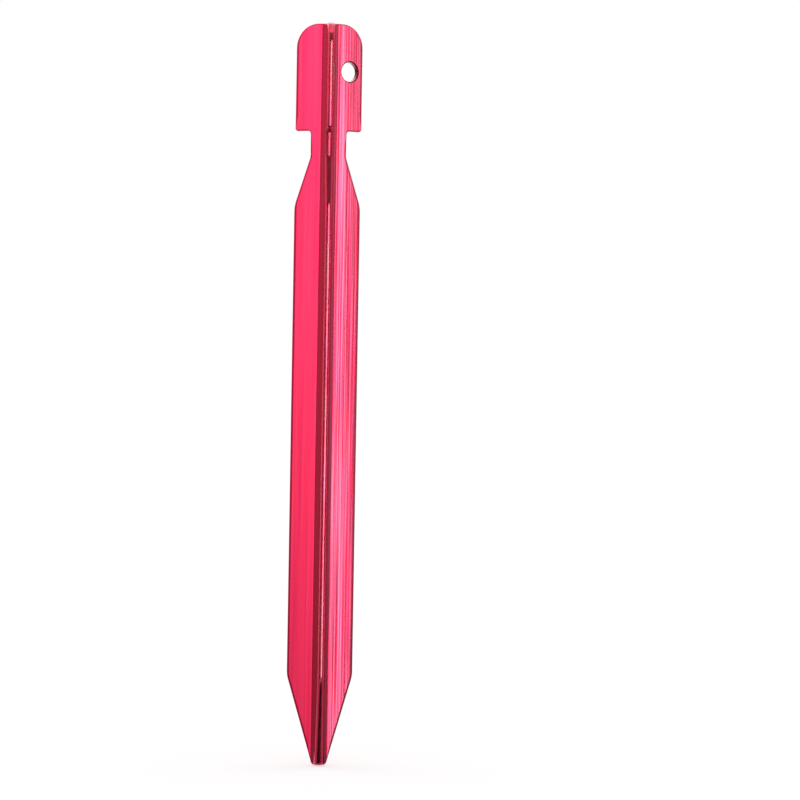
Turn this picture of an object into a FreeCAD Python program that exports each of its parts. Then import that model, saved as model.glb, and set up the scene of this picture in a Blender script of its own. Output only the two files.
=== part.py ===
import FreeCAD, Part
import math
import os
import Sketcher

# A one-piece tent stake: a length of Y-section aluminium bar with three equal fins 120 degrees apart.
# Every fin is cut to the same outline, and one of them is drilled for a cord.
#
# Frame: the stake's axis is Z, with the tip at the origin and the head up. One fin points along -Y,
# towards the front. Lengths are millimetres. A "reach" is a distance from the axis along a fin.

PARTS_FOLDER = "parts"
STAKE_NODE = "stake"

# Driving dimensions: alias, value, and what it is.
DIMENSIONS = [
    ("overall_length", 180.0, "tip to head"),
    ("fin_count", 3, "fins round the axis"),
    ("fin_reach", 9.0, "axis to a fin's outer edge"),
    ("fin_edge_thickness", 1.6, "fin thickness at its outer edge"),
    ("fin_axis_thickness", 2.2, "fin thickness carried in to the axis"),
    ("root_radius", 2.2, "fillet in the valley between two fins"),
    ("edge_break", 0.4, "rounding of every outline edge"),
    ("head_height", 26.0, "head, from its top to the ledge that holds a guy line"),
    ("head_corner_radius", 5.8, "outer corner of the head's top"),
    ("ledge_tip_radius", 0.8, "outer corner of the ledge"),
    ("ledge_root_radius", 0.7, "inner corner between ledge and neck"),
    ("neck_height", 6.2, "straight neck below the ledge"),
    ("neck_reach_top", 4.70, "neck reach just under the ledge"),
    ("neck_reach_bottom", 4.62, "neck reach where the shoulder starts"),
    ("neck_blend_radius", 3.0, "blend between neck and shoulder"),
    ("shoulder_height", 12.0, "taper from the neck back out to full reach"),
    ("shoulder_blend_radius", 8.0, "blend between shoulder and shaft"),
    ("tip_height", 21.2, "taper from full reach down to the tip"),
    ("tip_blend_radius", 7.0, "blend between shaft and tip taper"),
    ("tip_reach", 1.65, "reach left at the blunt end"),
    ("tip_corner_radius", 1.2, "outer corner of the blunt end"),
    ("hole_diameter", 4.7, "cord hole through one fin"),
    ("hole_reach", 5.15, "axis to the hole's centre"),
    ("hole_drop", 11.5, "head top to the hole's centre"),
    ("hole_edge_break", 0.35, "rounding of the hole's rims"),
    ("cut_margin", 3.0, "how far a cutting profile runs past the bar"),
]

# Heights of the outline's corners above the tip, as sheet expressions.
HEAD_TOP = "{overall_length}"
LEDGE = "({overall_length} - {head_height})"
NECK_END = "({overall_length} - {head_height} - {neck_height})"
SHOULDER_END = "({overall_length} - {head_height} - {neck_height} - {shoulder_height})"
TIP_START = "{tip_height}"

# Corners of one fin's outline that are rounded: feature name, reach, height, radius.
ROUNDED_CORNERS = [
    ("HeadCorners", "{fin_reach}", HEAD_TOP, "{head_corner_radius}"),
    ("LedgeTips", "{fin_reach}", LEDGE, "{ledge_tip_radius}"),
    ("LedgeRoots", "{neck_reach_top}", LEDGE, "{ledge_root_radius}"),
    ("NeckBlends", "{neck_reach_bottom}", NECK_END, "{neck_blend_radius}"),
    ("ShoulderBlends", "{fin_reach}", SHOULDER_END, "{shoulder_blend_radius}"),
    ("TipBlends", "{fin_reach}", TIP_START, "{tip_blend_radius}"),
    ("TipCorners", "{tip_reach}", "0", "{tip_corner_radius}"),
]

SHARP_ANGLE = math.radians(25.0)
MATCH_TOLERANCE = 0.05
ORIGIN_POINT = (-1, 1)
SKETCH_X_AXIS = -1
SKETCH_Y_AXIS = -2


def make_sheet(doc):
    """The spreadsheet that holds the driving dimensions, one row each."""
    sheet = doc.addObject("Spreadsheet::Sheet", "Dimensions")
    for row, (alias, value, meaning) in enumerate(DIMENSIONS, start=1):
        sheet.set(f"A{row}", meaning)
        sheet.set(f"B{row}", str(value))
        sheet.setAlias(f"B{row}", alias)
    doc.recompute()
    return sheet


def sheet_expression(text):
    """The same expression with each alias in braces written as a cell of the sheet."""
    return text.replace("{", "Dimensions.").replace("}", "")


def bind(item, path, text):
    """Drive a property or a named constraint from the sheet."""
    item.setExpression(path, sheet_expression(text))


def evaluate(item, text):
    """The value that an expression has now, as a plain number."""
    result = item.evalExpression(sheet_expression(text))
    return float(getattr(result, "Value", result))


def origin_feature(body, role):
    """The body's own origin plane or axis that has this role."""
    return next(item for item in body.Origin.OriginFeatures if item.Role == role)


def new_sketch(body, name, plane_role):
    """An empty sketch lying on one of the body's origin planes."""
    sketch = body.newObject("Sketcher::SketchObject", name)
    sketch.AttachmentSupport = [(origin_feature(body, plane_role), "")]
    sketch.MapMode = "FlatFace"
    return sketch


def hold_point(sketch, geometry, position, kind, text, label):
    """Hold one coordinate of a sketch point at a sheet expression, measured from the origin."""
    value = evaluate(sketch, text)
    if abs(value) < MATCH_TOLERANCE:
        axis = SKETCH_Y_AXIS if kind == "DistanceX" else SKETCH_X_AXIS
        sketch.addConstraint(Sketcher.Constraint("PointOnObject", geometry, position, axis))
        return
    ends = [*ORIGIN_POINT, geometry, position]
    if value < 0:
        ends = [geometry, position, *ORIGIN_POINT]
        text = f"-({text})"
    index = sketch.addConstraint(Sketcher.Constraint(kind, *ends, abs(value)))
    sketch.renameConstraint(index, label)
    bind(sketch, f"Constraints.{label}", text)


def draw_polygon(sketch, corners):
    """A closed outline of straight lines. Each corner is a pair of sheet expressions."""
    points = [FreeCAD.Vector(evaluate(sketch, x), evaluate(sketch, y), 0) for x, y in corners]
    count = len(corners)
    for index in range(count):
        sketch.addGeometry(Part.LineSegment(points[index], points[(index + 1) % count]))
    for index, (x, y) in enumerate(corners):
        following = (index + 1) % count
        sketch.addConstraint(Sketcher.Constraint("Coincident", index, 2, following, 1))
        hold_point(sketch, index, 1, "DistanceX", x, f"corner{index}_across")
        hold_point(sketch, index, 1, "DistanceY", y, f"corner{index}_along")


def add_pocket(body, name, sketch):
    """Cut a fin-plane outline right through its own fin, to both sides of the fin's mid-plane."""
    pocket = body.newObject("PartDesign::Pocket", name)
    pocket.Profile = sketch
    pocket.SideType = "Symmetric"
    bind(pocket, "Length", "2 * {fin_axis_thickness}")
    return finish_feature(body, pocket)


def add_pattern(body, name, originals):
    """Repeat features once for each fin, evenly round the axis."""
    pattern = body.newObject("PartDesign::PolarPattern", name)
    pattern.Originals = originals
    pattern.Axis = (origin_feature(body, "Z_Axis"), [""])
    pattern.Angle = 360
    bind(pattern, "Occurrences", "{fin_count}")
    return finish_feature(body, pattern)


def add_fillet(body, name, edges, radius):
    """Round the named edges of the body as it stands."""
    base = body.Tip
    fillet = body.newObject("PartDesign::Fillet", name)
    fillet.Base = (base, edges)
    bind(fillet, "Radius", radius)
    return finish_feature(body, fillet)


def finish_feature(body, feature):
    """Make a feature the body's tip and recompute, stopping if it failed."""
    body.Tip = feature
    body.Document.recompute()
    if "Invalid" in feature.State or "Error" in feature.State or not feature.Shape.isValid():
        raise RuntimeError(f"{feature.Name} failed: {feature.State}")
    return feature


def edge_names(shape, wanted):
    """Names of the edges for which wanted(edge) is true."""
    return [f"Edge{row}" for row, edge in enumerate(shape.Edges, start=1) if wanted(edge)]


def is_valley_corner(edge, reach):
    """True for the sharp inner corner between two fins, before it has its fillet."""
    centre = edge.CenterOfMass
    upright = abs(edge.BoundBox.ZLength - edge.Length) < MATCH_TOLERANCE
    return upright and math.hypot(centre.x, centre.y) < reach / 2


def is_outline_corner(edge, reach, height):
    """True for a straight edge across a fin's thickness, at this corner of its outline."""
    centre = edge.CenterOfMass
    straight = edge.Curve.TypeId == "Part::GeomLine"
    level = edge.BoundBox.ZLength < MATCH_TOLERANCE
    at_reach = abs(math.hypot(centre.x, centre.y) - reach) < MATCH_TOLERANCE
    return straight and level and at_reach and abs(centre.z - height) < MATCH_TOLERANCE


def face_normal(face, point):
    """The outward normal of a face at the place nearest to a point."""
    across, along = face.Surface.parameter(point)
    return face.normalAt(across, along)


def is_sharp(edge, shape):
    """True where two different faces meet at more than the angle that counts as sharp."""
    faces = shape.ancestorsOfType(edge, Part.Face)
    if len(faces) != 2:
        return False
    middle = edge.valueAt((edge.FirstParameter + edge.LastParameter) / 2)
    first, second = (face_normal(face, middle) for face in faces)
    return first.getAngle(second) > SHARP_ANGLE


def draw_fin_section(body):
    """One fin's cross-section: a wedge that is thinner at its outer edge."""
    section = new_sketch(body, "FinSection", "XY_Plane")
    corners = [
        ("-{fin_axis_thickness} / 2", "0"),
        ("-{fin_edge_thickness} / 2", "-{fin_reach}"),
        ("{fin_edge_thickness} / 2", "-{fin_reach}"),
        ("{fin_axis_thickness} / 2", "0"),
    ]
    draw_polygon(section, corners)
    return section


def add_bar(body):
    """The extruded Y-section bar, with a fillet in each valley."""
    fin = body.newObject("PartDesign::Pad", "Fin")
    fin.Profile = draw_fin_section(body)
    bind(fin, "Length", "{overall_length}")
    finish_feature(body, fin)
    add_pattern(body, "FinPattern", [fin])
    reach = evaluate(body, "{fin_reach}")
    valleys = edge_names(body.Shape, lambda edge: is_valley_corner(edge, reach))
    add_fillet(body, "ValleyFillets", valleys, "{root_radius}")


def draw_neck_profile(body):
    """What is cut from a fin between the ledge under the head and the end of the shoulder."""
    profile = new_sketch(body, "NeckProfile", "YZ_Plane")
    slope = "({fin_reach} - {neck_reach_bottom}) / {shoulder_height}"
    corners = [
        ("-{fin_reach} - {cut_margin}", LEDGE),
        ("-{neck_reach_top}", LEDGE),
        ("-{neck_reach_bottom}", NECK_END),
        (f"-{{fin_reach}} - {{cut_margin}} * {slope}", f"{SHOULDER_END} - {{cut_margin}}"),
        ("-{fin_reach} - {cut_margin}", f"{SHOULDER_END} - {{cut_margin}}"),
    ]
    draw_polygon(profile, corners)
    return profile


def draw_tip_profile(body):
    """What is cut from a fin to taper it down to the blunt end."""
    profile = new_sketch(body, "TipProfile", "YZ_Plane")
    slope = "({fin_reach} - {tip_reach}) / {tip_height}"
    corners = [
        (f"-{{fin_reach}} - {{cut_margin}} * {slope}", f"{TIP_START} + {{cut_margin}}"),
        (f"-{{tip_reach}} + {{cut_margin}} * {slope}", "-{cut_margin}"),
        ("-{fin_reach} - {cut_margin}", "-{cut_margin}"),
        ("-{fin_reach} - {cut_margin}", f"{TIP_START} + {{cut_margin}}"),
    ]
    draw_polygon(profile, corners)
    return profile


def cut_outlines(body):
    """Cut the neck and the tip into the front fin, then into the others."""
    neck = add_pocket(body, "NeckCut", draw_neck_profile(body))
    tip = add_pocket(body, "TipCut", draw_tip_profile(body))
    add_pattern(body, "OutlinePattern", [neck, tip])


def round_outline_corners(body):
    """Round the corners of all three outlines."""
    for name, reach_text, height_text, radius in ROUNDED_CORNERS:
        reach = evaluate(body, reach_text)
        height = evaluate(body, height_text)
        corners = edge_names(body.Shape, lambda edge: is_outline_corner(edge, reach, height))
        if len(corners) != evaluate(body, "{fin_count}"):
            raise RuntimeError(f"{name}: found {len(corners)} corners")
        add_fillet(body, name, corners, radius)


def break_sharp_edges(body, name, radius):
    """Round every edge of the body that is still sharp."""
    shape = body.Shape
    add_fillet(body, name, edge_names(shape, lambda edge: is_sharp(edge, shape)), radius)


def drill_cord_hole(body):
    """The round hole through the fin at the right and rear, square to that fin."""
    centre = new_sketch(body, "CordHoleCircle", "YZ_Plane")
    swing = FreeCAD.Rotation(FreeCAD.Vector(0, 1, 0), 1)
    centre.AttachmentOffset = FreeCAD.Placement(FreeCAD.Vector(), swing)
    bind(centre, "AttachmentOffset.Rotation.Angle", "360 / {fin_count}")
    centre.addGeometry(Part.Circle(FreeCAD.Vector(-1, 1, 0), FreeCAD.Vector(0, 0, 1), 1))
    circle = 0
    centre_point = 3
    diameter = centre.addConstraint(Sketcher.Constraint("Diameter", circle, 2.0))
    centre.renameConstraint(diameter, "diameter")
    bind(centre, "Constraints.diameter", "{hole_diameter}")
    hold_point(centre, circle, centre_point, "DistanceX", "-{hole_reach}", "reach")
    hold_point(centre, circle, centre_point, "DistanceY", f"{HEAD_TOP} - {{hole_drop}}", "height")
    add_pocket(body, "CordHole", centre)


def make_stake(doc):
    """The whole stake, as one body."""
    body = doc.addObject("PartDesign::Body", "Stake")
    body.Label = STAKE_NODE
    add_bar(body)
    bar_volume = body.Shape.Volume
    cut_outlines(body)
    cut_volume = body.Shape.Volume
    round_outline_corners(body)
    break_sharp_edges(body, "EdgeBreak", "{edge_break}")
    rounded_volume = body.Shape.Volume
    drill_cord_hole(body)
    drilled_volume = body.Shape.Volume
    break_sharp_edges(body, "HoleEdgeBreak", "{hole_edge_break}")
    volumes = [bar_volume, cut_volume, rounded_volume, drilled_volume, body.Shape.Volume]
    if volumes != sorted(volumes, reverse=True) or len(set(volumes)) != len(volumes):
        raise RuntimeError(f"a cut removed nothing: {volumes}")
    return body


def check_document(doc):
    """Stop if any object of the document failed to recompute."""
    for item in doc.Objects:
        if "Invalid" in item.State or "Error" in item.State:
            raise RuntimeError(f"{item.Name} failed: {item.State}")


def write_part(body):
    """Write the body's shape to a STEP file named by its label."""
    shape = body.Shape
    if shape.isNull() or not shape.isValid() or len(shape.Solids) != 1:
        raise RuntimeError(f"{body.Label} isn't one valid solid")
    shape.exportStep(os.path.join(PARTS_FOLDER, f"{body.Label}.step"))
    box = shape.optimalBoundingBox()
    print(f"{body.Label}: {box.XLength:.2f} x {box.YLength:.2f} x {box.ZLength:.2f} mm, "
          f"{shape.Volume:.0f} mm3, {len(shape.Faces)} faces")


def main():
    """Build the document and write its part."""
    os.makedirs(PARTS_FOLDER, exist_ok=True)
    doc = FreeCAD.newDocument("TentStake")
    make_sheet(doc)
    stake = make_stake(doc)
    doc.recompute()
    check_document(doc)
    write_part(stake)


main()
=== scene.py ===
import math

import bmesh
import bpy
from mathutils import Matrix, Vector
from mathutils.geometry import tessellate_polygon


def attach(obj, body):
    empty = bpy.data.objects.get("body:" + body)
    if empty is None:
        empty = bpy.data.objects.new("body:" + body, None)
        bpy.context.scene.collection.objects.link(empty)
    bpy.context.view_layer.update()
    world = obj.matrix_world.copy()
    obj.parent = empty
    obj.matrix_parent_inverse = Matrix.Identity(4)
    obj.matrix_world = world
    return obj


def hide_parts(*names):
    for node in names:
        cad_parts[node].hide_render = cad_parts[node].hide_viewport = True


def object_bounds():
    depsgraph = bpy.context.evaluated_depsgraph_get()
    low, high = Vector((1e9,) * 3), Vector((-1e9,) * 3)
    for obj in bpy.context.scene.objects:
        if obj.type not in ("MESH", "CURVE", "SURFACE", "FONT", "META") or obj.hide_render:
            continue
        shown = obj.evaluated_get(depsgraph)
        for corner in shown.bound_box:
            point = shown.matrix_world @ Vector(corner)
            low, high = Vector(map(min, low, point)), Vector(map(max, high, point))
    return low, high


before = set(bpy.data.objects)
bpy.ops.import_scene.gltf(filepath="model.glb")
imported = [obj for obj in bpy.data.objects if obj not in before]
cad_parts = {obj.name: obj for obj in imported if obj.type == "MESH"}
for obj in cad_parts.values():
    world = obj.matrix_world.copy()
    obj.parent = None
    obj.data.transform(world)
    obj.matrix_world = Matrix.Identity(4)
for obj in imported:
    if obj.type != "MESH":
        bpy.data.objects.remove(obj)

# A one-piece tent stake of Y-section aluminium bar, anodised red-pink, standing on its tip.
#
# The CAD node's mesh is too coarse for mirror-like edges, so one finer mesh replaces it. It has the same
# shape, apart from the finish of its edges.
# Each fin is built in its own frame: r runs out along the fin from the axis, w across its thickness, z up.
# Lengths are millimetres until a vertex is made.

MM = 0.001

CAD_LOW, CAD_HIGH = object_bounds()

# The bar. The inset keeps the mesh's single-precision points inside the CAD box.
LENGTH = (CAD_HIGH.z - CAD_LOW.z) / MM
INSET = 0.001
REACH = -CAD_LOW.y / MM - INSET
HALF_EDGE = 0.8
HALF_AXIS = 1.1
VALLEY_RADIUS = 2.2
FIN_DIRECTIONS = {"front": -90.0, "drilled": 30.0, "plain": 150.0}

# The outline that every fin is cut to.
HEAD_HEIGHT = 26.0
HEAD_CORNER = 5.8
LEDGE_TIP = 0.8
LEDGE_ROOT = 0.7
NECK_HEIGHT = 6.2
NECK_REACH_TOP = 4.70
NECK_REACH_BOTTOM = 4.62
NECK_BLEND = 3.0
SHOULDER_HEIGHT = 12.0
SHOULDER_BLEND = 8.0
TIP_HEIGHT = 21.2
TIP_BLEND = 7.0
TIP_REACH = 1.65
TIP_CORNER = 1.2

# The cord hole.
HOLE_RADIUS = 2.35
HOLE_REACH = 5.15
HOLE_HEIGHT = LENGTH - 11.5
HOLE_BREAK = 0.35

# Edge finish of each straight of the outline: rounding radius, crown angle and lead-in angle in degrees, and
# how strongly it shows a cutter's marks, 0 to 1, which also sets how strongly it gets the painted dark
# reflection. The lead-in is the side sheet's gentle turn before the rounding, and has a radius of its own.
FLAT_END = (0.38, 0.0, 0.0, 0.5)
CUT = (0.38, 12.0, 10.0, 0.4)
TIP_CUT = (0.60, 12.0, 10.0, 0.4)
EXTRUDED = (0.40, 10.0, 14.0, 0.0)
LEAD_RADIUS = 2.5

# How rubbed the metal is, 0 to 1. A crown is fully rubbed, and less so the more it shows a cutter's marks. A
# rounding is rubbed most halfway round.
CUT_SPARES_WEAR = 1.5
EDGE_WEAR = 0.12

# How strongly the die's lines show on a plain fin and on the drilled one. Squared, it also sets how much
# painted sheen their streaks get.
LINE_DEPTHS = (0.35, 1.0)

ARC_STEP = math.radians(5.0)
STRAIGHT_STEPS = 12
VALLEY_STEPS = 20
LEAD_STEPS = 3
ROUND_STEPS = 8
CROWN_STEPS = 12
HOLE_STEPS = 96
SHAFT_LEVELS = 30

SLOPE = (HALF_AXIS - HALF_EDGE) / REACH
LEAN = math.atan(SLOPE)
SIDE_NORMAL = (math.sin(LEAN), math.cos(LEAN))
VALLEY_TURN = math.radians(30.0)
VALLEY_DISTANCE = (VALLEY_RADIUS + HALF_AXIS * math.cos(LEAN)) / math.cos(VALLEY_TURN - LEAN)
VALLEY_R = VALLEY_DISTANCE * math.sin(VALLEY_TURN)
VALLEY_W = VALLEY_DISTANCE * math.cos(VALLEY_TURN)

# The lead-in fades in over these distances: along the fin from the axis, and up or down from the ledge.
LEAD_FADE = (VALLEY_R + 0.5, VALLEY_R + 1.5)
LEDGE_FADE = (0.8, 4.0)

# Steps of the two searches, and the sine of the steepest turn into a valley.
SETTLE_ROUNDS = 8
HALVINGS = 50
STEEPEST = 0.9

# Points closer than these distances in metres are one, when the mesh is merged and when the rims are joined.
# Turns closer than SAME_TURN radians are one, and a turn taken from a station of the foot stays TURN_MARGIN
# away from both ends of the valley's fillet.
MERGE_DISTANCE = 2e-7
SAME_POINT = 1e-6
SAME_TURN = 2e-3
TURN_MARGIN = 1e-3

# Small steps that keep a search off the exact start of the fillet and off the outline's very end.
TURN_STEP_IN = 1e-6
PLACE_STEP_IN = 1e-9

# A flat end's normal is at least this upright, and the foot's flat end lies below this height.
UPRIGHT = 0.9999
FOOT_TOP = 1.0


def outline_corners():
    """The outline's corners as (r, z, radius), from the head's centre down to the tip's."""
    ledge = LENGTH - HEAD_HEIGHT
    neck_end = ledge - NECK_HEIGHT
    return [
        (0.0, LENGTH, 0.0),
        (REACH, LENGTH, HEAD_CORNER),
        (REACH, ledge, LEDGE_TIP),
        (NECK_REACH_TOP, ledge, LEDGE_ROOT),
        (NECK_REACH_BOTTOM, neck_end, NECK_BLEND),
        (REACH, neck_end - SHOULDER_HEIGHT, SHOULDER_BLEND),
        (REACH, TIP_HEIGHT, TIP_BLEND),
        (TIP_REACH, 0.0, TIP_CORNER),
        (0.0, 0.0, 0.0),
    ]


STRAIGHT_FINISHES = [FLAT_END, EXTRUDED, CUT, CUT, CUT, EXTRUDED, TIP_CUT, FLAT_END]


def outline_pieces():
    """The outline as straights and arcs. Each is a function of 0 to 1 that gives point, normal and finish."""
    corners = outline_corners()
    points = [Vector(corner[:2]) for corner in corners]
    headings = [(b - a).normalized() for a, b in zip(points, points[1:])]
    pieces = []
    start = points[0]
    for i, heading in enumerate(headings):
        last = i == len(headings) - 1
        turn = 0.0 if last else heading.angle_signed(headings[i + 1])
        trim = corners[i + 1][2] * math.tan(abs(turn) / 2)
        end = points[i + 1] - heading * trim
        pieces.append(straight(start, end, heading, STRAIGHT_FINISHES[i]))
        if not last:
            radius = corners[i + 1][2]
            pieces.append(arc(end, heading, -turn, radius, STRAIGHT_FINISHES[i], STRAIGHT_FINISHES[i + 1]))
            start = points[i + 1] + headings[i + 1] * trim
    return pieces


def outward(heading):
    """The side of the outline that has no metal, walking from the head down to the tip."""
    return Vector((-heading.y, heading.x))


def straight(start, end, heading, finish):
    """A straight with one finish."""
    def at(s):
        return start.lerp(end, s), outward(heading), finish
    return at, STRAIGHT_STEPS


def arc(start, heading, turn, radius, finish_a, finish_b):
    """An arc that turns by this signed angle (left is positive) from its start."""
    side = 1.0 if turn > 0 else -1.0
    centre = start + outward(heading) * side * radius

    def at(s):
        spin = Matrix.Rotation(turn * s, 2)
        normal = spin @ outward(heading)
        finish = [a + (b - a) * s for a, b in zip(finish_a, finish_b)]
        return centre - normal * side * radius, normal, finish
    return at, max(4, math.ceil(abs(turn) / ARC_STEP))


def fade(value, limits):
    """A smooth step from 0 at the first limit to 1 at the second."""
    part = min(1.0, max(0.0, (value - limits[0]) / (limits[1] - limits[0])))
    return part * part * (3 - 2 * part)


class Station:
    """One place along the outline, with the rounding and the crown of the fin's edge there."""

    def __init__(self, pieces, place):
        index = min(int(place), len(pieces) - 1)
        point, normal, (radius, crown, lead, cut) = pieces[index][0](place - index)
        self.point = point
        self.normal = normal
        self.radius = radius
        self.crown = math.radians(crown)
        self.lead = math.radians(lead) * fade(point.x, LEAD_FADE)
        self.lead *= fade(abs(point.y - LENGTH + HEAD_HEIGHT), LEDGE_FADE)
        self.cut = cut
        self.wear = 1.0 - CUT_SPARES_WEAR * cut
        self.centre_w = HALF_EDGE - radius
        for _ in range(SETTLE_ROUNDS):
            self.settle()

    def settle(self):
        """Places the rounding's centre so that the crown's top lies on the outline."""
        inset = self.radius + self.centre_w * math.tan(self.crown / 2)
        self.centre = self.point - self.normal * inset
        reach = self.centre.x
        swing = VALLEY_RADIUS + self.radius
        if reach < VALLEY_R - swing * math.sin(LEAN):
            self.turn = math.asin(min(STEEPEST, (VALLEY_R - reach) / swing))
            self.centre_w = VALLEY_W - swing * math.cos(self.turn)
        else:
            self.turn = LEAN
            depth = self.radius + (LEAD_RADIUS - self.radius) * (1 - math.cos(self.lead))
            self.centre_w = HALF_AXIS - SLOPE * reach - depth / math.cos(LEAN)

    def edge_row(self):
        """Points and normals from the side sheet, round the edge, to where the crown begins."""
        side = Vector((math.sin(self.turn), math.cos(self.turn), 0.0))
        level = math.cos(self.crown)
        top = Vector((self.normal.x * level, math.sin(self.crown), self.normal.y * level))
        centre = Vector((self.centre.x, self.centre_w, self.centre.y))
        begin = side.slerp(top, self.lead / side.angle(top))
        lead_centre = centre - begin * (LEAD_RADIUS - self.radius)
        row = []
        for k in range(LEAD_STEPS):
            normal = side.slerp(begin, k / LEAD_STEPS) if self.lead > 0 else side
            row.append((lead_centre + normal * LEAD_RADIUS, normal))
        for k in range(ROUND_STEPS + 1):
            normal = begin.slerp(top, k / ROUND_STEPS)
            row.append((centre + normal * self.radius, normal))
        return row

    def crown_row(self):
        """Points and normals across the crown, from its +w end to its -w end, without the ends."""
        half = self.centre_w + self.radius * math.sin(self.crown)
        bend = math.sin(self.crown) / half
        row = []
        for k in range(1, CROWN_STEPS):
            w = half * (1 - 2 * k / CROWN_STEPS)
            depth = bend * w * w / (1 + math.sqrt(1 - (bend * w) ** 2))
            flat = math.sqrt(1 - (bend * w) ** 2)
            point = self.point - self.normal * depth
            row.append((
                Vector((point.x, w, point.y)),
                Vector((self.normal.x * flat, bend * w, self.normal.y * flat)),
            ))
        return row


def find_turn(pieces, turn, low, high):
    """The station, between these places, where the side sheet has turned into the valley by this much."""
    rising = Station(pieces, high).turn > Station(pieces, low).turn
    for _ in range(HALVINGS):
        middle = (low + high) / 2
        if (Station(pieces, middle).turn < turn) == rising:
            low = middle
        else:
            high = middle
    return Station(pieces, (low + high) / 2)


class Skin:
    """A mesh under construction: faces between points that carry their own exact normals."""

    def __init__(self):
        self.bm = bmesh.new()
        self.normal = self.bm.verts.layers.float_vector.new("exact_normal")
        self.edge = self.bm.verts.layers.float.new("edge")
        self.cut = self.bm.verts.layers.float.new("cut")
        self.lines = self.bm.verts.layers.float.new("lines")
        self.line_depth = 1.0

    def vert(self, fin, point, normal, edge=0.0, cut=0.0):
        """One vertex, from the fin's frame, with how rubbed and how cut the metal is there."""
        made = self.bm.verts.new(fin @ point * MM)
        made[self.normal] = fin @ normal
        made[self.edge] = edge
        made[self.cut] = cut
        made[self.lines] = self.line_depth
        return made

    def quads(self, rows):
        """Faces between neighbouring rows of vertices."""
        for a, b in zip(rows, rows[1:]):
            for k in range(len(a) - 1):
                self.bm.faces.new((a[k], a[k + 1], b[k + 1], b[k]))

    def fill(self, loops, flat):
        """Faces over a flat region bounded by loops of vertices; flat gives a point's place in the plane."""
        verts = [v for loop in loops for v in loop]
        places = [[Vector((*flat(v), 0.0)) for v in loop] for loop in loops]
        for triangle in tessellate_polygon(places):
            self.bm.faces.new([verts[k] for k in triangle])

    def mesh(self, name):
        """The finished mesh, with doubled vertices merged and the exact normals kept."""
        bmesh.ops.remove_doubles(self.bm, verts=self.bm.verts, dist=MERGE_DISTANCE)
        bmesh.ops.recalc_face_normals(self.bm, faces=self.bm.faces)
        for face in self.bm.faces:
            face.smooth = True
        normals = [v[self.normal].normalized() for v in self.bm.verts]
        mesh = bpy.data.meshes.new(name)
        self.bm.to_mesh(mesh)
        self.bm.free()
        mesh.normals_split_custom_set_from_vertices(normals)
        return mesh


def fin_matrix(direction):
    """From a fin's r, w, z to the stake's x, y, z."""
    angle = math.radians(direction)
    return Matrix((
        (math.cos(angle), -math.sin(angle), 0.0),
        (math.sin(angle), math.cos(angle), 0.0),
        (0.0, 0.0, 1.0),
    ))


def mirrored(row):
    """The same points and normals on the fin's other side."""
    flip = Vector((1.0, -1.0, 1.0))
    return [(point * flip, normal * flip) for point, normal in row]


def edge_wear(k):
    """How rubbed the k-th point round an edge is, 0 to 1."""
    return EDGE_WEAR * math.sin(math.pi * max(0, k) / ROUND_STEPS)


def valley_turns(tail):
    """The turns into the valley at which the head and the foot both get a station, smallest first."""
    turns = [LEAN + (VALLEY_TURN - LEAN) * k / VALLEY_STEPS for k in range(VALLEY_STEPS + 1)]
    turns += [s.turn for s in tail if LEAN + TURN_MARGIN < s.turn < VALLEY_TURN - TURN_MARGIN]
    turns = sorted(turns)
    kept = [turns[0]]
    for turn in turns[1:]:
        if turn - kept[-1] > SAME_TURN:
            kept.append(turn)
    kept[0] = LEAN + TURN_STEP_IN
    return kept


def outline_stations():
    """Stations at the head's flat end, along the fin's edge and at the foot, and the valley's turns."""
    pieces = outline_pieces()
    places = []
    for index, (_, steps) in enumerate(pieces):
        places += [index + k / steps for k in range(steps)]
    head_end = 1.0
    shaft_middle = len(pieces) / 2
    tail = [Station(pieces, p) for p in places if p > shaft_middle]
    turns = valley_turns(tail)
    head = [find_turn(pieces, turn, 0.0, head_end) for turn in reversed(turns)]
    foot = [find_turn(pieces, turn, shaft_middle, len(pieces) - PLACE_STEP_IN) for turn in turns]
    middle = [Station(pieces, p) for p in places if p >= head_end]
    middle = [s for s in middle if s.turn <= LEAN]
    return head, middle, foot, turns


def side_verts(skin, fin, station, side):
    """The vertices of a station's edge row, on this side of the fin."""
    row = station.edge_row()
    if side < 0:
        row = mirrored(row)
    verts = []
    for k, (point, normal) in enumerate(row):
        cut = station.cut if k > LEAD_STEPS else 0.0
        verts.append(skin.vert(fin, point, normal, edge_wear(k - LEAD_STEPS), cut))
    return verts


def add_crowns(skin, fin, stations, sides):
    """The fin's edge between its two roundings; gives the rims of the flat ends at the head and the foot."""
    is_flat_head = [s.normal.y > UPRIGHT and s.point.y > LENGTH / 2 for s in stations]
    is_flat_foot = [s.normal.y < -UPRIGHT and s.point.y < FOOT_TOP for s in stations]
    first = max(i for i, flat in enumerate(is_flat_head) if flat)
    last = min(i for i, flat in enumerate(is_flat_foot) if flat)
    crowns = []
    for i in range(first, last + 1):
        station = stations[i]
        inner = [skin.vert(fin, p, n, station.wear, station.cut) for p, n in station.crown_row()]
        crowns.append([sides[1][i][-1], *inner, sides[-1][i][-1]])
    skin.quads(crowns)

    head_rim = [row[-1] for row in sides[1][:first + 1]] + crowns[0][1:-1]
    head_rim += [row[-1] for row in reversed(sides[-1][:first + 1])]
    foot_rim = [row[-1] for row in reversed(sides[1][last:])] + crowns[-1][1:-1]
    foot_rim += [row[-1] for row in sides[-1][last:]]
    return head_rim, foot_rim


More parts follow.
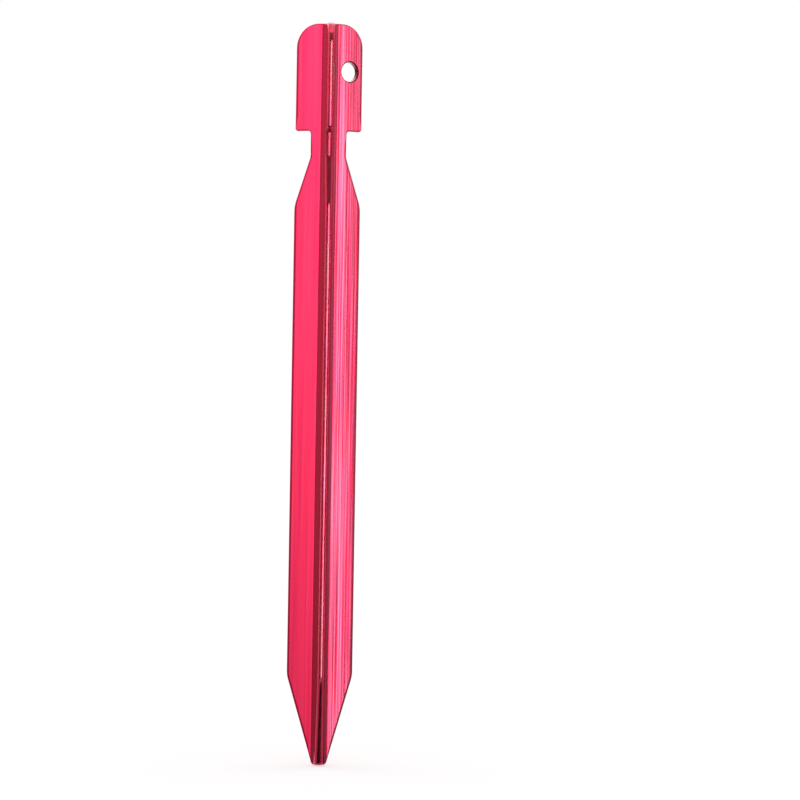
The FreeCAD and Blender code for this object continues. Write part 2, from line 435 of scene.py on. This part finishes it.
def add_sheet(skin, fin, side, rows, turns, hole_rim):
    """One side of the fin between its edges: its half of the valley's fillet, and the flat sheet."""
    count = len(turns)
    back = fin.transposed()
    tops = [row[0] for row in rows[:count]][::-1]
    bottoms = [row[0] for row in rows[-count:]]
    columns = []
    for turn, top, bottom in zip(turns, tops, bottoms):
        normal = Vector((math.sin(turn), side * math.cos(turn), 0.0))
        column = [top]
        for k in range(1, SHAFT_LEVELS):
            point = back @ top.co.lerp(bottom.co, k / SHAFT_LEVELS) / MM
            column.append(skin.vert(fin, point, normal))
        column.append(bottom)
        columns.append(column)
    skin.quads(columns)
    rim = columns[0][::-1] + [row[0] for row in rows[count:-count]]
    loops = [rim, hole_rim] if hole_rim else [rim]
    skin.fill(loops, lambda v: (back @ v.co / MM).xz)


def add_fin(skin, direction, drilled):
    """One whole fin, with its halves of the valleys beside it; gives the rims of its flat ends."""
    fin = fin_matrix(direction)
    skin.line_depth = LINE_DEPTHS[drilled]
    head, middle, foot, turns = outline_stations()
    stations = head + middle + foot
    sides = {}
    for side in (1, -1):
        sides[side] = [side_verts(skin, fin, station, side) for station in stations]
        skin.quads(sides[side])
    rims = add_crowns(skin, fin, stations, sides)
    hole_rims = add_hole(skin, fin) if drilled else {1: [], -1: []}
    for side in (1, -1):
        add_sheet(skin, fin, side, sides[side], turns, hole_rims[side])
    return rims


def add_hole(skin, fin):
    """The cord hole's wall and its two rounded rims; gives the rim loops on the side sheets."""
    walls, rims = {}, {}
    for side in (1, -1):
        rows = []
        for k in range(HOLE_STEPS):
            angle = 2 * math.pi * k / HOLE_STEPS
            out = Vector((math.cos(angle), 0.0, math.sin(angle)))
            centre = Vector((HOLE_REACH, 0.0, HOLE_HEIGHT)) + out * (HOLE_RADIUS + HOLE_BREAK)
            centre.y = HALF_AXIS - SLOPE * centre.x - HOLE_BREAK / math.cos(LEAN)
            start = Vector((SIDE_NORMAL[0], SIDE_NORMAL[1], 0.0))
            row = []
            for j in range(ROUND_STEPS + 1):
                normal = start.slerp(-out, j / ROUND_STEPS)
                row.append((centre + normal * HOLE_BREAK, normal))
            if side < 0:
                row = mirrored(row)
            rows.append([
                skin.vert(fin, point, normal, edge_wear(j), min(1, j))
                for j, (point, normal) in enumerate(row)
            ])
        rows.append(rows[0])
        skin.quads(rows)
        walls[side] = [row[-1] for row in rows]
        rims[side] = [row[0] for row in rows[:-1]]
    skin.quads([walls[1], walls[-1]])
    return rims


def make_stake():
    """The stake's mesh object, riding on the root body in place of the CAD node."""
    skin = Skin()
    head_rims, foot_rims = [], []
    for name, direction in FIN_DIRECTIONS.items():
        head_rim, foot_rim = add_fin(skin, direction, name == "drilled")
        head_rims.append(head_rim)
        foot_rims.append(foot_rim)
    for rims in (head_rims, foot_rims):
        add_cap(skin, rims)
    mesh = skin.mesh("stake_metal")
    stake = bpy.data.objects.new("stake_metal", mesh)
    bpy.context.scene.collection.objects.link(stake)
    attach(stake, "root")
    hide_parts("stake")
    return stake


def add_cap(skin, rims):
    """One flat end of the bar: a Y made of the three fins' rims."""
    ordered = []
    for rim in rims:
        points = rim[::-1]
        if ordered and (ordered[-1].co - points[0].co).length < SAME_POINT:
            points = points[1:]
        ordered += points
    if (ordered[-1].co - ordered[0].co).length < SAME_POINT:
        ordered.pop()
    skin.fill([ordered], lambda v: (v.co / MM).xy)


def math_node(tree, operation, a, b=None):
    """One Math node; each operand is a socket or a number."""
    node = tree.nodes.new("ShaderNodeMath")
    node.operation = operation
    for socket, value in zip(node.inputs, (a, b)):
        if isinstance(value, bpy.types.NodeSocket):
            tree.links.new(value, socket)
        elif value is not None:
            socket.default_value = value
    return node.outputs[0]


def vector_node(tree, operation, a, b=None, scale=None):
    """One Vector Math node; each operand is a socket or a vector."""
    node = tree.nodes.new("ShaderNodeVectorMath")
    node.operation = operation
    for socket, value in zip(node.inputs, (a, b)):
        if isinstance(value, bpy.types.NodeSocket):
            tree.links.new(value, socket)
        elif value is not None:
            socket.default_value = value
    if scale is not None:
        tree.links.new(scale, node.inputs["Scale"])
    return node.outputs[0]


def noise(tree, stretch, size, detail=2.0, offset=0.0):
    """Noise over the object, from -0.5 to 0.5, with features of about this size in metres.

    Stretch scales the sampling along x, y and z: a small z stretches the features lengthwise."""
    place = tree.nodes.new("ShaderNodeTexCoord").outputs["Object"]
    scaled = vector_node(tree, "MULTIPLY", place, [s / size for s in stretch])
    moved = vector_node(tree, "ADD", scaled, (offset, offset, offset))
    node = tree.nodes.new("ShaderNodeTexNoise")
    node.inputs["Scale"].default_value = 1.0
    node.inputs["Detail"].default_value = detail
    tree.links.new(moved, node.inputs["Vector"])
    return math_node(tree, "SUBTRACT", node.outputs["Fac"], 0.5)


def attribute(tree, name):
    """A number that the mesh carries at its vertices."""
    node = tree.nodes.new("ShaderNodeAttribute")
    node.attribute_name = name
    return node.outputs["Fac"]


# The Mix node has sockets of each type under the same names; these are its colour ones.
MIX_A, MIX_B, MIX_OUT = 6, 7, 2

WHITE = (1.0, 1.0, 1.0, 1.0)

LENGTHWISE = (1.0, 1.0, 0.006)
CROSSWISE = (0.08, 0.08, 1.0)

# Lengthwise marks that the extrusion die leaves: size across in metres, and tilt in radians per unit of
# noise. Then the detail and the offset of their noise.
DIE_LINES = [(0.00024, 0.22), (0.0006, 0.16), (0.0040, 0.05)]
LINE_NOISE = (2.0, 3.7)

# Crosswise marks that a cutter leaves: stretch, size along the stake in metres and detail. Then their tilt.
CUT_MARKS = (CROSSWISE, 0.0003, 3.0)
CUT_TILT = 0.3

# How far the side sheets lean outwards at the fins' outer edges, in radians, and the share of the reach at
# which the lean begins.
BOW = 0.018
BOW_START = 0.3

# The dye's two shades, painted sheen in streaks, painted dark reflection on cut faces, and its colour where
# rubbed.
DYE_DEEP = (1.0, 0.014, 0.090, 1.0)
DYE_LIGHT = (1.0, 0.020, 0.110, 1.0)
# Painted sheen: a paler colour in streaks that stands in for streaky reflection, mostly on the drilled fin.
PAINTED_SHEEN_STREAK = (1.0, 0.140, 0.250, 1.0)
# Painted dark reflection: the colour that cut faces are darkened towards.
PAINTED_DARK_ON_CUTS = (0.20, 0.002, 0.014, 1.0)
WORN = (1.0, 0.17, 0.24, 1.0)
MOST_WEAR = 0.9

# Noises over the metal: stretch, size in metres, detail and, for some, an offset that sets them apart. The
# limits are the noise values between which the painted sheen's streaks and rubbed patches come in.
BLOTCHES = ((1, 1, 0.15), 0.008, 3.0)
STREAKS = (LENGTHWISE, 0.00035, 2.0, 5.3)
STREAK_LIMITS = (-0.14, 0.12)
PATCHES = ((1, 1, 0.1), 0.0012, 3.0)
PATCH_LIMITS = (-0.35, 0.15)
HAZE = (LENGTHWISE, 0.0009, 3.0, 9.1)

# Roughness of the side sheets, and what the haze and a cutter's marks add to it.
SHEET_ROUGHNESS = 0.20
HAZE_ROUGHNESS = 0.12
CUT_ROUGHNESS = 0.12


def total(tree, terms):
    """The sum of several sockets."""
    value = terms[0]
    for term in terms[1:]:
        value = math_node(tree, "ADD", value, term)
    return value


def marked_normal(tree):
    """The surface normal, tilted by the die's lines, the sheets' bow and the cutter's marks."""
    normal = tree.nodes.new("ShaderNodeNewGeometry").outputs["Normal"]
    across = vector_node(tree, "NORMALIZE", vector_node(tree, "CROSS_PRODUCT", normal, (0.0, 0.0, 1.0)))
    tilt = total(tree, [
        math_node(tree, "MULTIPLY", noise(tree, LENGTHWISE, size, *LINE_NOISE), amount)
        for size, amount in DIE_LINES
    ])
    tilt = math_node(tree, "MULTIPLY", tilt, attribute(tree, "lines"))
    cut = math_node(tree, "MULTIPLY", attribute(tree, "cut"), noise(tree, *CUT_MARKS))
    cut = math_node(tree, "MULTIPLY", cut, CUT_TILT)
    lengthwise = vector_node(tree, "SCALE", (0.0, 0.0, 1.0), scale=cut)
    tilted = vector_node(tree, "ADD", normal, vector_node(tree, "SCALE", across, scale=tilt))
    place = tree.nodes.new("ShaderNodeTexCoord").outputs["Object"]
    radial = vector_node(tree, "MULTIPLY", place, (1.0, 1.0, 0.0))
    length = tree.nodes.new("ShaderNodeVectorMath")
    length.operation = "LENGTH"
    tree.links.new(radial, length.inputs[0])
    bow = ramp(tree, length.outputs["Value"], BOW_START * REACH * MM, REACH * MM)
    bow = math_node(tree, "MULTIPLY", bow, BOW)
    lean = vector_node(tree, "SCALE", vector_node(tree, "NORMALIZE", radial), scale=bow)
    tilted = vector_node(tree, "ADD", tilted, lean)
    return vector_node(tree, "NORMALIZE", vector_node(tree, "ADD", tilted, lengthwise))


def mix(tree, factor, first, second):
    """One Mix node between two colours; each is a socket or a plain colour."""
    node = tree.nodes.new("ShaderNodeMix")
    node.data_type = "RGBA"
    tree.links.new(factor, node.inputs["Factor"])
    for place, value in ((MIX_A, first), (MIX_B, second)):
        if isinstance(value, bpy.types.NodeSocket):
            tree.links.new(value, node.inputs[place])
        else:
            node.inputs[place].default_value = value
    return node.outputs[MIX_OUT]


def metal_colour(tree, cut):
    """Blotchy dye, painted sheen in paler streaks along the drilled fin, painted dark reflection where cut,
    and pinker where rubbed.
    """
    blotch = math_node(tree, "ADD", noise(tree, *BLOTCHES), 0.5)
    dye = mix(tree, blotch, DYE_DEEP, DYE_LIGHT)
    # Painted sheen in paler streaks, weighted by the die lines' depth squared, so mostly on the drilled fin.
    painted_sheen_mask = ramp(tree, noise(tree, *STREAKS), *STREAK_LIMITS)
    lines = attribute(tree, "lines")
    painted_sheen_mask = math_node(tree, "MULTIPLY", painted_sheen_mask, math_node(tree, "MULTIPLY", lines, lines))
    with_painted_sheen = mix(tree, painted_sheen_mask, dye, PAINTED_SHEEN_STREAK)
    # Painted dark reflection: cut faces are darkened by how cut they are.
    with_painted_dark_cuts = mix(tree, cut, with_painted_sheen, PAINTED_DARK_ON_CUTS)
    patches = ramp(tree, noise(tree, *PATCHES), *PATCH_LIMITS)
    wear = math_node(tree, "MULTIPLY", attribute(tree, "edge"), patches)
    return mix(tree, math_node(tree, "MULTIPLY", wear, MOST_WEAR), with_painted_dark_cuts, WORN)


def make_anodised_aluminium():
    """Dyed anodising over extruded aluminium: a red metal under a clear, glossy oxide layer."""
    material = bpy.data.materials.new("anodised_aluminium")
    material.use_nodes = True
    tree = material.node_tree
    shader = tree.nodes["Principled BSDF"]
    shader.inputs["Metallic"].default_value = 1
    shader.inputs["Coat Weight"].default_value = 0.3
    shader.inputs["Coat IOR"].default_value = 1.5
    shader.inputs["Coat Roughness"].default_value = 0.06

    cut = attribute(tree, "cut")
    tree.links.new(metal_colour(tree, cut), shader.inputs["Base Color"])
    haze = math_node(tree, "MULTIPLY", noise(tree, *HAZE), HAZE_ROUGHNESS)
    roughness = math_node(tree, "ADD", haze, SHEET_ROUGHNESS)
    roughness = math_node(tree, "ADD", roughness, math_node(tree, "MULTIPLY", cut, CUT_ROUGHNESS))
    tree.links.new(roughness, shader.inputs["Roughness"])
    normal = marked_normal(tree)
    tree.links.new(normal, shader.inputs["Normal"])
    tree.links.new(normal, shader.inputs["Coat Normal"])
    return material


# The studio that the metal mirrors, as soft-edged windows of white light:
# azimuths from and to, azimuth softness, elevations from and to, elevation softness, brightness, and how much
# the brightness grows per degree of elevation.
# Azimuth 0 is the camera's side of the stake and grows towards its drilled fin. All angles are degrees.
LIGHTS = {
    "left panel": (-66, -50, 2, -16, 16, 3, 1.45, 0.085),
    "right panel": (56, 66.5, 2, -16, 16, 3, 2.9, 0.0),
    "strip": (0.5, 6.0, 2, -8, 24, 6, 6.2, 0.0),
    "overhead": (-38, 38, 8, 66, 95, 5, 1.2, 0.0),
    "upper front": (-30, 30, 6, 34, 60, 5, 0.15, 0.0),
    "left side": (-125, -66, 2, -16, 16, 3, 0.34, 0.020),
    "right side": (66.5, 125, 2, -16, 16, 3, 0.32, 0.020),
    "front": (-50, 50, 4, -16, 16, 3, 0.16, 0.010),
    "back panel": (158, 225, 4, -30, 50, 6, 1.3, 0.0),
    "ceiling left": (-180, -30, 8, 16, 95, 3, 0.9, 0.0),
    "ceiling right": (30, 180, 8, 16, 95, 3, 0.9, 0.0),
    "floor front": (-38, 38, 8, -28, -16, 3, 0.4, 0.0),
    "floor left": (-180, -30, 8, -95, -16, 3, 0.6, 0.0),
    "floor right": (30, 180, 8, -95, -16, 3, 0.6, 0.0),
}

# Light from all the rest of the studio.
AMBIENT = 0.01

# Radians to degrees.
DEGREES = 180 / math.pi


def ramp(tree, value, low, high):
    """A smooth step from 0 at low to 1 at high."""
    node = tree.nodes.new("ShaderNodeMapRange")
    node.interpolation_type = "SMOOTHSTEP"
    tree.links.new(value, node.inputs["Value"])
    node.inputs["From Min"].default_value = low
    node.inputs["From Max"].default_value = high
    return node.outputs["Result"]


def window(tree, value, low, high, soft):
    """1 between low and high and 0 outside, with soft edges."""
    opening = ramp(tree, value, low - soft, low + soft)
    closing = ramp(tree, value, high - soft, high + soft)
    return math_node(tree, "SUBTRACT", opening, closing)


def make_world():
    """The studio: the metal mirrors the windows of light, and all else sees plain white."""
    world = bpy.data.worlds.new("studio")
    world.use_nodes = True
    world.cycles.sampling_method = "NONE"
    tree = world.node_tree
    direction = tree.nodes.new("ShaderNodeTexCoord").outputs["Generated"]
    split = tree.nodes.new("ShaderNodeSeparateXYZ")
    tree.links.new(direction, split.inputs[0])
    x, y, z = split.outputs
    azimuth = math_node(tree, "ARCTAN2", x, math_node(tree, "MULTIPLY", y, -1))
    azimuth = math_node(tree, "MULTIPLY", azimuth, DEGREES)
    elevation = math_node(tree, "MULTIPLY", math_node(tree, "ARCSINE", z), DEGREES)
    wrapped = math_node(tree, "LESS_THAN", azimuth, 0)
    full_turn = math_node(tree, "ADD", azimuth, math_node(tree, "MULTIPLY", wrapped, 360))
    light = AMBIENT
    for a, b, soft, low, high, vertical_soft, brightness, growth in LIGHTS.values():
        mask = math_node(
            tree, "MULTIPLY",
            window(tree, full_turn if b > 180 else azimuth, a, b, soft),
            window(tree, elevation, low, high, vertical_soft),
        )
        level = math_node(tree, "ADD", math_node(tree, "MULTIPLY", elevation, growth), brightness)
        light = math_node(tree, "ADD", light, math_node(tree, "MULTIPLY", mask, level))
    glossy = tree.nodes.new("ShaderNodeLightPath").outputs["Is Glossy Ray"]
    tree.links.new(mix(tree, glossy, WHITE, light), tree.nodes["Background"].inputs["Color"])
    bpy.context.scene.world = world


# The camera, as seen from the stake's middle. Angles are degrees. Lengths are metres, apart from the lens and
# the sensor, which are millimetres.
CAMERA_DISTANCE = 0.80
CAMERA_AZIMUTH = -1.8
CAMERA_ELEVATION = 1.0
CAMERA_ROLL = 0.97
CAMERA_LENS = 148.25
SENSOR_WIDTH = 36.0
AIM_ASIDE = 0.01834
AIM_BELOW = 0.00094
NEAREST = 0.01
FARTHEST = 20.0


def make_camera():
    """The photograph's view. It aims beside the stake, which stands left of the picture's middle."""
    data = bpy.data.cameras.new("camera")
    data.sensor_width = SENSOR_WIDTH
    data.lens = CAMERA_LENS
    data.clip_start = NEAREST
    data.clip_end = FARTHEST
    camera = bpy.data.objects.new("camera", data)
    bpy.context.scene.collection.objects.link(camera)
    azimuth, elevation = math.radians(CAMERA_AZIMUTH), math.radians(CAMERA_ELEVATION)
    back = Vector((
        math.sin(azimuth) * math.cos(elevation),
        -math.cos(azimuth) * math.cos(elevation),
        math.sin(elevation),
    ))
    middle = (CAD_LOW + CAD_HIGH) / 2
    middle.x = middle.y = 0.0
    camera.location = middle + back * CAMERA_DISTANCE
    right = Vector((0, 0, 1)).cross(back).normalized()
    target = middle + right * AIM_ASIDE - Vector((0, 0, AIM_BELOW))
    look = (target - camera.location).to_track_quat("-Z", "Y").to_matrix()
    roll = Matrix.Rotation(math.radians(CAMERA_ROLL), 3, "Z")
    camera.rotation_mode = "QUATERNION"
    camera.rotation_quaternion = (look @ roll).to_quaternion()
    bpy.context.scene.camera = camera


# The floor: its radius and its gap under the tip in metres, its number of sides, its grey and its glow.
FLOOR_RADIUS = 3.0
FLOOR_SIDES = 64
FLOOR_GAP = 0.0002
FLOOR_GREY = (0.5, 0.5, 0.5, 1.0)
FLOOR_GLOW = 0.52


def make_floor():
    """A plain pale floor under the tip."""
    mesh = bpy.data.meshes.new("floor")
    bm = bmesh.new()
    bmesh.ops.create_circle(bm, cap_ends=True, segments=FLOOR_SIDES, radius=FLOOR_RADIUS)
    bm.to_mesh(mesh)
    bm.free()
    floor = bpy.data.objects.new("floor", mesh)
    floor.location.z = CAD_LOW.z - FLOOR_GAP
    bpy.context.scene.collection.objects.link(floor)
    material = bpy.data.materials.new("floor")
    material.use_nodes = True
    shader = material.node_tree.nodes["Principled BSDF"]
    shader.inputs["Base Color"].default_value = FLOOR_GREY
    shader.inputs["Roughness"].default_value = 1
    shader.inputs["Specular IOR Level"].default_value = 0
    shader.inputs["Emission Color"].default_value = WHITE
    shader.inputs["Emission Strength"].default_value = FLOOR_GLOW
    mesh.materials.append(material)
    floor.visible_glossy = False


stake = make_stake()
stake.data.materials.append(make_anodised_aluminium())
make_world()
make_floor()
make_camera()
bpy.context.scene.view_settings.view_transform = "Standard"
